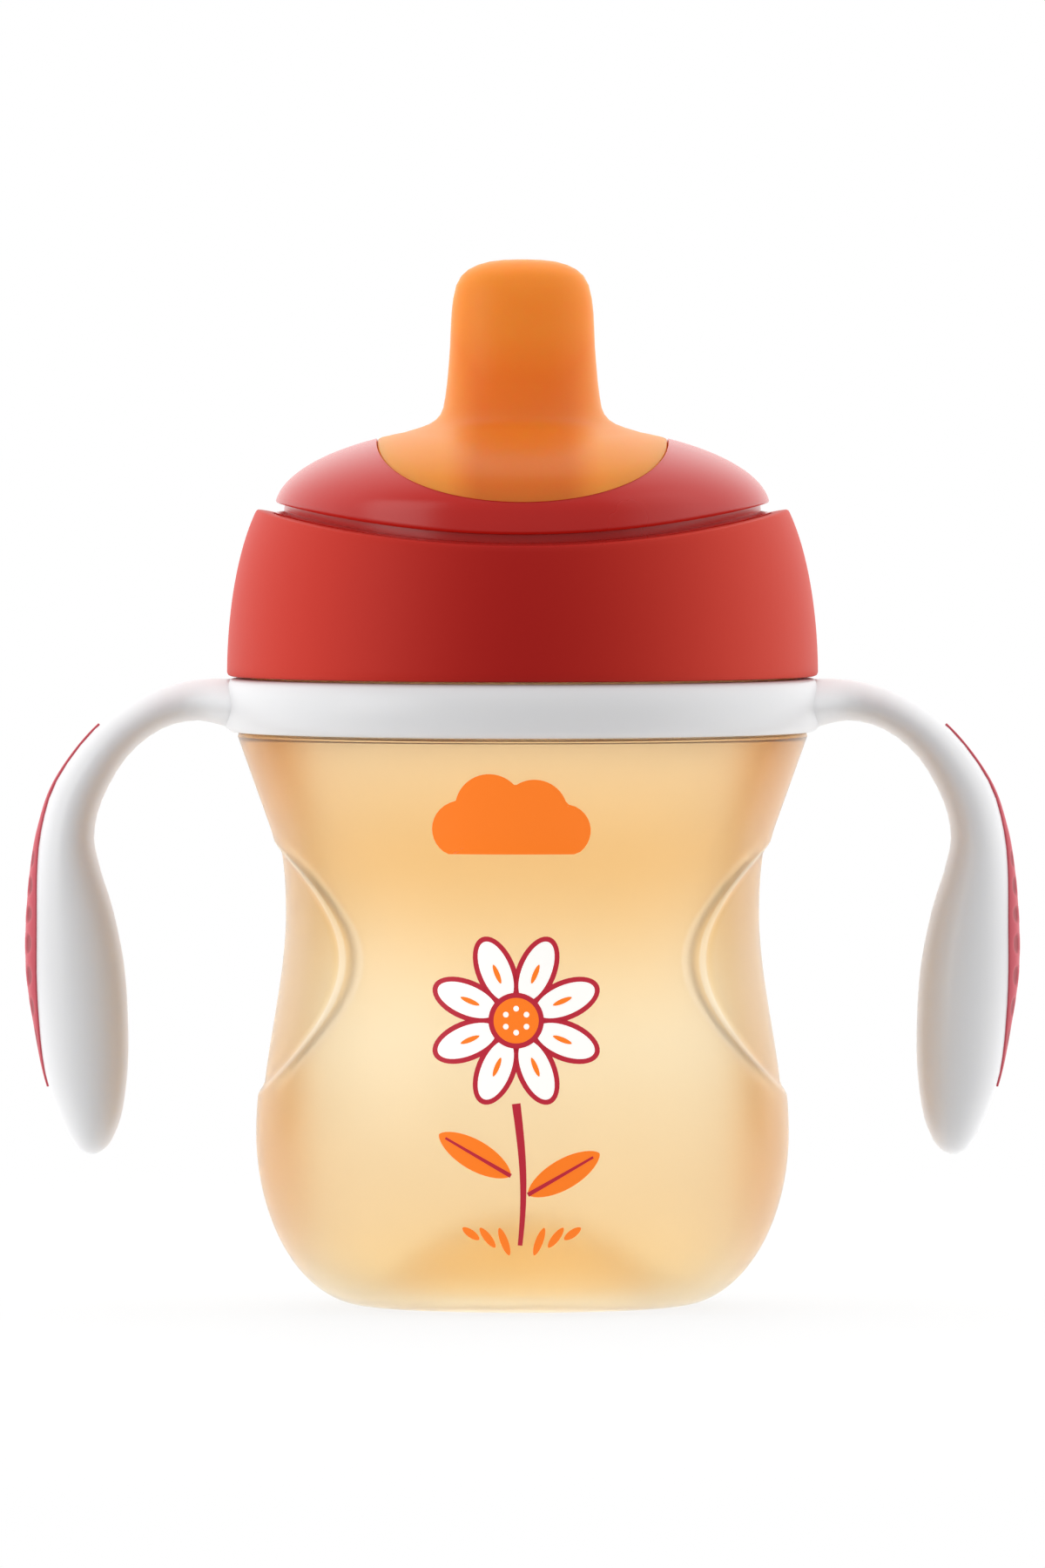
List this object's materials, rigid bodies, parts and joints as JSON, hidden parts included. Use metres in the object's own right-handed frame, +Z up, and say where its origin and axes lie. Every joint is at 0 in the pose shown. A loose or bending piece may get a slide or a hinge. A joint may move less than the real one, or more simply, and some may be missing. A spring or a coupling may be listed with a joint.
{
  "type": "sippy cup",
  "caption": "Waisted translucent training cup with a removable two-armed handle ring, screw lid, soft oval spout and pull-out non-spill valve.",
  "frame": {"origin": "centre of the flat ring that the cup stands on", "axes": "+Z up through the spout, front towards -Y, handles towards +X and -X"},
  "size_m": [0.127, 0.0772, 0.1333],
  "materials": {
    "cup_plastic": "translucent, satin",
    "handle_white": "satin moulded",
    "grip_red": "soft-touch, fine dimples",
    "collar_red": "matte moulded",
    "dome_red": "polished",
    "spout_orange": "soft silicone, satin",
    "core_natural": "satin moulded",
    "valve_clear": "translucent silicone",
    "seal_white": "soft silicone"
  },
  "bodies": {
    "cup": {"cup_body": "cup_plastic"},
    "handles": {"handle_ring": "handle_white", "grip_pad_left": "grip_red", "grip_pad_right": "grip_red"},
    "seal": {"lid_seal": "seal_white"},
    "lid": {"lid_collar": "collar_red", "lid_dome": "dome_red", "spout": "spout_orange"},
    "core": {"spout_core": "core_natural"},
    "valve": {"valve": "valve_clear"}
  },
  "joints": [
    {"name": "lift_off", "type": "slide", "parent": "cup", "child": "handles", "axis": [0, 0, 1], "range_m": [0, 0.1]},
    {"name": "lid_rise", "type": "slide", "parent": "handles", "child": "seal", "axis": [0, 0, 1], "range_m": [0, 0.0051]},
    {"name": "lid_turn", "type": "hinge", "parent": "seal", "child": "lid", "pos_m": [0, 0, 0.09], "axis": [0, 0, 1], "range_deg": [0, 300]},
    {"name": "core_pull", "type": "slide", "parent": "lid", "child": "core", "axis": [0, 0, -1], "range_m": [0, 0.03]},
    {"name": "valve_pull", "type": "slide", "parent": "core", "child": "valve", "axis": [0, 0, -1], "range_m": [0, 0.01]}
  ],
  "couplings": [
    {"joint": "lid_rise", "follows": "lid_turn", "m_per_rad": 0.00095493}
  ]
}
